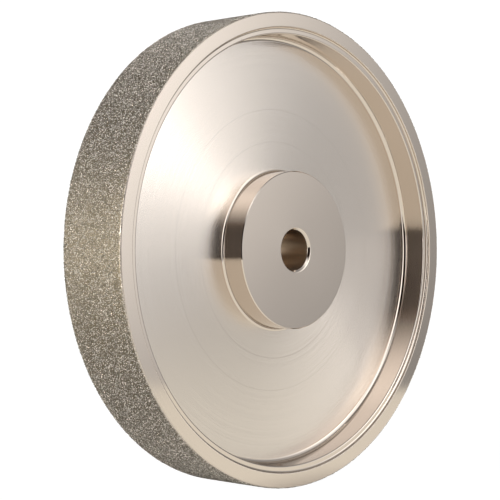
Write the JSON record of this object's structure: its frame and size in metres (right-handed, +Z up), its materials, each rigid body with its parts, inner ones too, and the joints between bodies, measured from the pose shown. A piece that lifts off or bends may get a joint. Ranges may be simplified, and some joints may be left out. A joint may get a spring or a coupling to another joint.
{
  "type": "diamond grinding wheel",
  "caption": "Flat grinding wheel: nickel-plated steel body with a thin web and raised hub, and a band of electroplated diamond grit round the rim.",
  "frame": {"origin": "middle of the bore, half-way through the wheel's width", "axes": "+Y along the spin axis, with the outward face towards -Y; +Z up"},
  "size_m": [0.15, 0.025, 0.15],
  "materials": {
    "nickel_plated_steel": "bright warm nickel plate over turned steel, with fine concentric turning lines",
    "nickel_bond": "dull electroplated nickel, lumpy where it grips the grains",
    "diamond_grains": "single layer of sharp olive-grey diamond grains, sparkling"
  },
  "bodies": {
    "root": {"wheel_body": "nickel_plated_steel", "nickel_bond": "nickel_bond", "diamond_grit": "diamond_grains"}
  },
  "joints": []
}
